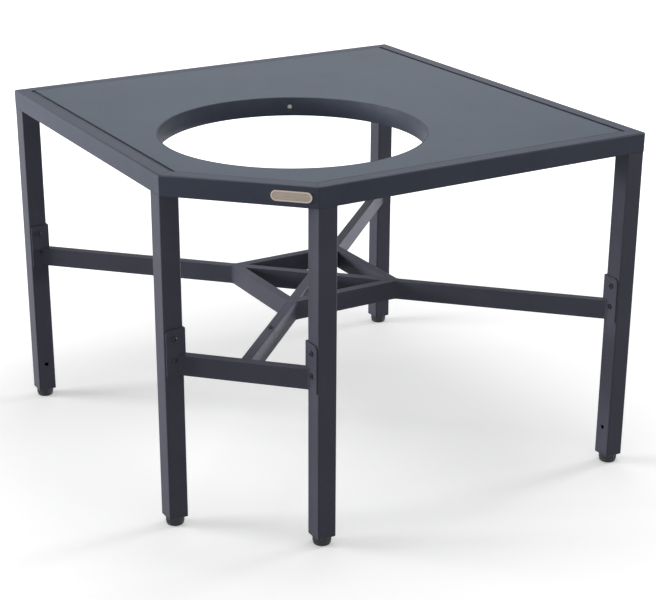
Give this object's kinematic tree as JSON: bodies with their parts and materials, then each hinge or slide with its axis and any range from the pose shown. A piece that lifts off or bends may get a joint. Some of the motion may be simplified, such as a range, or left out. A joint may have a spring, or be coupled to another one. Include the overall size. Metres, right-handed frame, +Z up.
{
  "type": "kamado grill table",
  "caption": "Five-sided corner table of square steel tube with a round collared opening for a kamado grill, a lower bar frame with a square cradle, and screw feet.",
  "frame": {"origin": "on the floor under the middle of the square that the top's plan is cut from", "axes": "+Z up; X and Y along the two long sides; the cut front corner is at low X and low Y"},
  "size_m": [0.96, 0.96, 0.725],
  "materials": {
    "powder_coat": "fine-texture satin powder coat",
    "powder_coat_top": "fine-texture satin powder coat",
    "dark_steel": "blackened",
    "bright_steel": "plain stainless",
    "plain_steel": "zinc plated",
    "badge_metal": "satin champagne",
    "black_plastic": "matt"
  },
  "bodies": {
    "table": {"frame_rail_right": "powder_coat", "frame_rail_back_right": "powder_coat", "frame_rail_back_left": "powder_coat", "frame_rail_left": "powder_coat", "frame_rail_front": "powder_coat", "panel_ledges": "powder_coat", "top_panel": "powder_coat_top", "kamado_collar": "powder_coat", "collar_screws": "bright_steel", "collar_nuts": "bright_steel", "badge_plate": "badge_metal", "leg_left": "powder_coat", "leg_front_left": "powder_coat", "leg_front_right": "powder_coat", "leg_right": "powder_coat", "leg_back": "powder_coat", "corner_socket_left": "powder_coat", "corner_socket_front_left": "powder_coat", "corner_socket_front_right": "powder_coat", "corner_socket_right": "powder_coat", "corner_socket_back": "powder_coat", "leg_plug_left": "black_plastic", "leg_plug_front_left": "black_plastic", "leg_plug_front_right": "black_plastic", "leg_plug_right": "black_plastic", "leg_plug_back": "black_plastic", "corner_bracket_left": "powder_coat", "corner_bracket_front_left": "powder_coat", "corner_bracket_front_right": "powder_coat", "corner_bracket_right": "powder_coat", "corner_bracket_back": "powder_coat", "bracket_bolts": "dark_steel", "bracket_weld_nuts": "plain_steel", "cradle_bar_front_right": "powder_coat", "cradle_bar_back_right": "powder_coat", "cradle_bar_back_left": "powder_coat", "cradle_bar_front_left": "powder_coat", "stretcher_left": "powder_coat", "stretcher_right": "powder_coat", "stretcher_back": "powder_coat", "cradle_diagonal": "powder_coat", "cradle_strut_back": "powder_coat", "cradle_strut_front": "powder_coat", "front_crossbar": "powder_coat", "stem_front": "powder_coat", "stem_back": "powder_coat", "stem_sleeve": "plain_steel", "stem_bolt": "dark_steel"},
    "sole_left": {"foot_sole_left": "black_plastic"},
    "screw_left": {"foot_screw_left": "black_plastic"},
    "sole_front_left": {"foot_sole_front_left": "black_plastic"},
    "screw_front_left": {"foot_screw_front_left": "black_plastic"},
    "sole_front_right": {"foot_sole_front_right": "black_plastic"},
    "screw_front_right": {"foot_screw_front_right": "black_plastic"},
    "sole_right": {"foot_sole_right": "black_plastic"},
    "screw_right": {"foot_screw_right": "black_plastic"},
    "sole_back": {"foot_sole_back": "black_plastic"},
    "screw_back": {"foot_screw_back": "black_plastic"}
  },
  "joints": [
    {"name": "foot_drop_left", "type": "slide", "parent": "table", "child": "sole_left", "axis": [0, 0, -1], "range_m": [0, 0.012]},
    {"name": "foot_turn_left", "type": "hinge", "parent": "sole_left", "child": "screw_left", "pos_m": [-0.46, 0.46, 0.012], "axis": [0, 0, -1], "range_deg": [0, 2880]},
    {"name": "foot_drop_front_left", "type": "slide", "parent": "table", "child": "sole_front_left", "axis": [0, 0, -1], "range_m": [0, 0.012]},
    {"name": "foot_turn_front_left", "type": "hinge", "parent": "sole_front_left", "child": "screw_front_left", "pos_m": [-0.46, -0.24787, 0.012], "axis": [0, 0, -1], "range_deg": [0, 2880]},
    {"name": "foot_drop_front_right", "type": "slide", "parent": "table", "child": "sole_front_right", "axis": [0, 0, -1], "range_m": [0, 0.012]},
    {"name": "foot_turn_front_right", "type": "hinge", "parent": "sole_front_right", "child": "screw_front_right", "pos_m": [-0.24787, -0.46, 0.012], "axis": [0, 0, -1], "range_deg": [0, 2880]},
    {"name": "foot_drop_right", "type": "slide", "parent": "table", "child": "sole_right", "axis": [0, 0, -1], "range_m": [0, 0.012]},
    {"name": "foot_turn_right", "type": "hinge", "parent": "sole_right", "child": "screw_right", "pos_m": [0.46, -0.46, 0.012], "axis": [0, 0, -1], "range_deg": [0, 2880]},
    {"name": "foot_drop_back", "type": "slide", "parent": "table", "child": "sole_back", "axis": [0, 0, -1], "range_m": [0, 0.012]},
    {"name": "foot_turn_back", "type": "hinge", "parent": "sole_back", "child": "screw_back", "pos_m": [0.46, 0.46, 0.012], "axis": [0, 0, -1], "range_deg": [0, 2880]}
  ],
  "couplings": [
    {"joint": "foot_drop_left", "follows": "foot_turn_left", "m_per_rad": 0.00023873},
    {"joint": "foot_drop_front_left", "follows": "foot_turn_front_left", "m_per_rad": 0.00023873},
    {"joint": "foot_drop_front_right", "follows": "foot_turn_front_right", "m_per_rad": 0.00023873},
    {"joint": "foot_drop_right", "follows": "foot_turn_right", "m_per_rad": 0.00023873},
    {"joint": "foot_drop_back", "follows": "foot_turn_back", "m_per_rad": 0.00023873}
  ]
}
